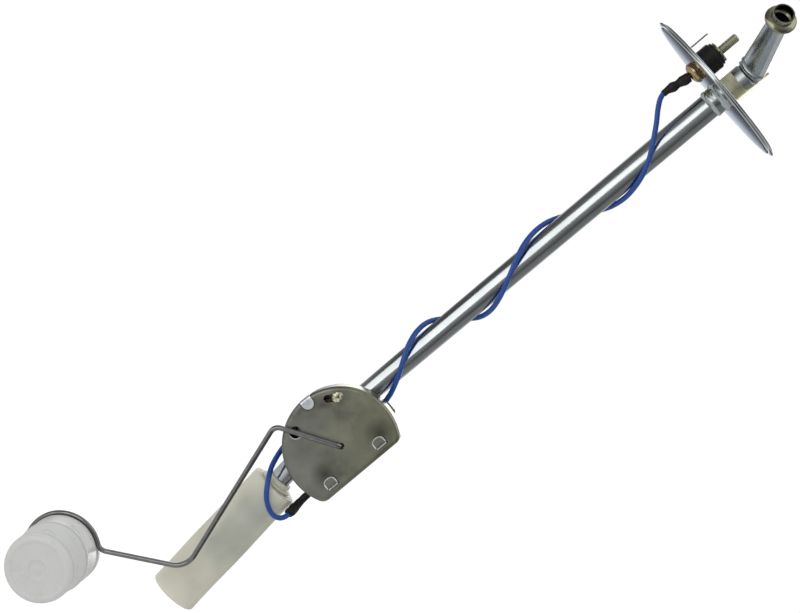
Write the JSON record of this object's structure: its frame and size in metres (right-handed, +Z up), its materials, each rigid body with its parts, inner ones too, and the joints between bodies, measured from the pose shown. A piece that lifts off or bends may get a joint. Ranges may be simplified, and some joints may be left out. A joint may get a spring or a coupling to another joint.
{
  "type": "fuel level sender",
  "caption": "Tank sender: round flange, long pickup tube with outlet nipple and strainer, insulated terminal, wound lead, and a D-shaped housing with a hinged wire float arm.",
  "frame": {"origin": "centre of the mounting flange's rim face, the face that seats on the tank", "axes": "+Z up out of the tank along the flange's axis, the pickup tube hangs along -Z, -Y faces out of the housing cover, +X towards the cover's flat edge"},
  "size_m": [0.087, 0.0912, 0.4128],
  "materials": {
    "zinc_steel": "bright zinc plated steel",
    "passivated_sheet": "olive passivated zinc on pressed sheet",
    "braze_metal": "plated braze fillet",
    "brass_parts": "turned brass",
    "spring_bronze": "rolled spring bronze",
    "drawn_wire": "drawn spring steel wire",
    "solder_metal": "soft solder",
    "resistance_wire": "wound resistance wire",
    "black_plastic": "moulded black thermoset",
    "black_sleeve": "shrink sleeve",
    "blue_insulation": "extruded lead insulation",
    "phenolic_board": "laminated phenolic sheet",
    "float_plastic": "translucent white moulded plastic",
    "strainer_plastic": "milky woven plastic mesh"
  },
  "bodies": {
    "sender_body": {"mounting_flange": "zinc_steel", "pickup_tube": "zinc_steel", "braze_fillet": "braze_metal", "tube_brace": "zinc_steel", "earth_tab": "zinc_steel", "terminal_insulator": "black_plastic", "fibre_washer": "phenolic_board", "terminal_stud": "brass_parts", "lock_washer": "zinc_steel", "sender_lead": "blue_insulation", "upper_sleeve": "black_sleeve", "lower_sleeve": "black_sleeve", "base_plate": "passivated_sheet", "housing_cover": "passivated_sheet", "solder_joint": "solder_metal", "upper_strap": "passivated_sheet", "lower_strap": "passivated_sheet", "pivot_bush": "brass_parts", "resistor_card": "phenolic_board", "resistor_winding": "resistance_wire", "link_wire": "resistance_wire", "terminal_board": "phenolic_board", "solder_lug": "brass_parts", "terminal_rivet": "brass_parts", "strainer_sock": "strainer_plastic", "strainer_collar": "strainer_plastic"},
    "float_arm": {"float_arm": "drawn_wire", "float": "float_plastic", "shaft_retainer": "zinc_steel", "wiper_hub": "brass_parts", "wiper_blade": "spring_bronze", "wave_spring": "spring_bronze"}
  },
  "joints": [
    {"name": "float_arm_pivot", "type": "hinge", "parent": "sender_body", "child": "float_arm", "pos_m": [0.0137, 0, -0.2256], "axis": [0, 1, 0], "range_deg": [0, 80]}
  ]
}
